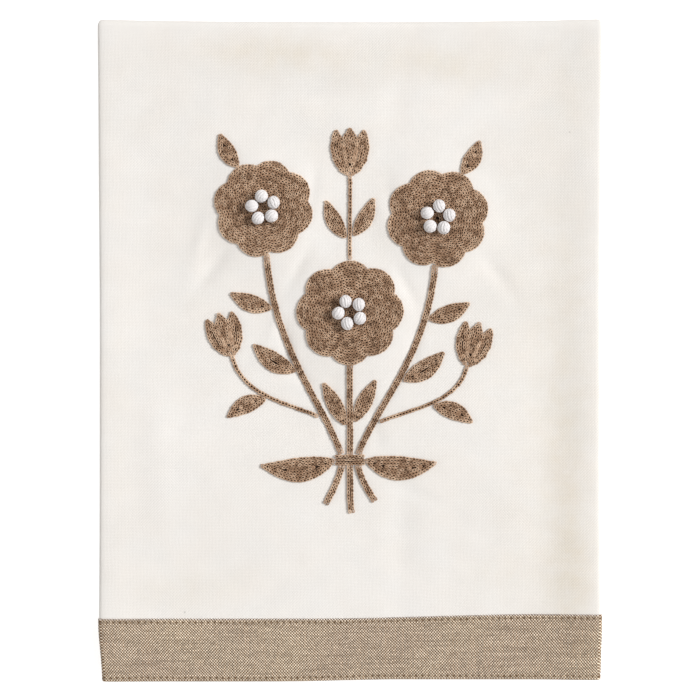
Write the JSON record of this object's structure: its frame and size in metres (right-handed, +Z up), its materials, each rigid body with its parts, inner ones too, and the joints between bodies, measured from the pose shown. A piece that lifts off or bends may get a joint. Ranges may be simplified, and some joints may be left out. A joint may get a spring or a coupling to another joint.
{
  "type": "hand towel",
  "caption": "Folded cream hand towel lying face up, with a chambray band across its end and a raised chain-stitch posy with wound knots.",
  "frame": {"origin": "middle of the part's box, on the surface that the towel lies on", "axes": "+Y towards the top fold, away from the band; +X to the right with the face seen from above; +Z up out of the face"},
  "size_m": [0.2036, 0.2675, 0.0134],
  "materials": {
    "cream_cloth": "plain weave, matt",
    "chambray_band": "chambray weave of cream and brown threads, matt",
    "taupe_yarn": "chain-stitched yarn, soft",
    "white_yarn": "wound fluffy yarn, matt"
  },
  "bodies": {
    "root": {"bud_side_left": "taupe_yarn", "bud_side_right": "taupe_yarn", "bud_top": "taupe_yarn", "knot_left_1": "white_yarn", "knot_left_2": "white_yarn", "knot_left_3": "white_yarn", "knot_left_4": "white_yarn", "knot_left_5": "white_yarn", "knot_middle_1": "white_yarn", "knot_middle_2": "white_yarn", "knot_middle_3": "white_yarn", "knot_middle_4": "white_yarn", "knot_middle_5": "white_yarn", "knot_right_1": "white_yarn", "knot_right_2": "white_yarn", "knot_right_3": "white_yarn", "knot_right_4": "white_yarn", "knot_right_5": "white_yarn", "leaf_arm_left": "taupe_yarn", "leaf_arm_right": "taupe_yarn", "leaf_brow_left": "taupe_yarn", "leaf_brow_right": "taupe_yarn", "leaf_cheek_left": "taupe_yarn", "leaf_cheek_right": "taupe_yarn", "leaf_crown_left": "taupe_yarn", "leaf_crown_right": "taupe_yarn", "leaf_heart_left": "taupe_yarn", "leaf_heart_right": "taupe_yarn", "leaf_low_left": "taupe_yarn", "leaf_low_right": "taupe_yarn", "leaf_side_left": "taupe_yarn", "leaf_side_right": "taupe_yarn", "posy_tie": "taupe_yarn", "rosette_left": "taupe_yarn", "rosette_middle": "taupe_yarn", "rosette_right": "taupe_yarn", "stem_left": "taupe_yarn", "stem_middle": "taupe_yarn", "stem_right": "taupe_yarn", "stem_side_left": "taupe_yarn", "stem_side_right": "taupe_yarn", "stem_tail_left": "taupe_yarn", "stem_tail_middle": "taupe_yarn", "stem_tail_right": "taupe_yarn", "stem_top": "taupe_yarn", "towel_band": "chambray_band", "towel_cloth": "cream_cloth"}
  },
  "joints": []
}
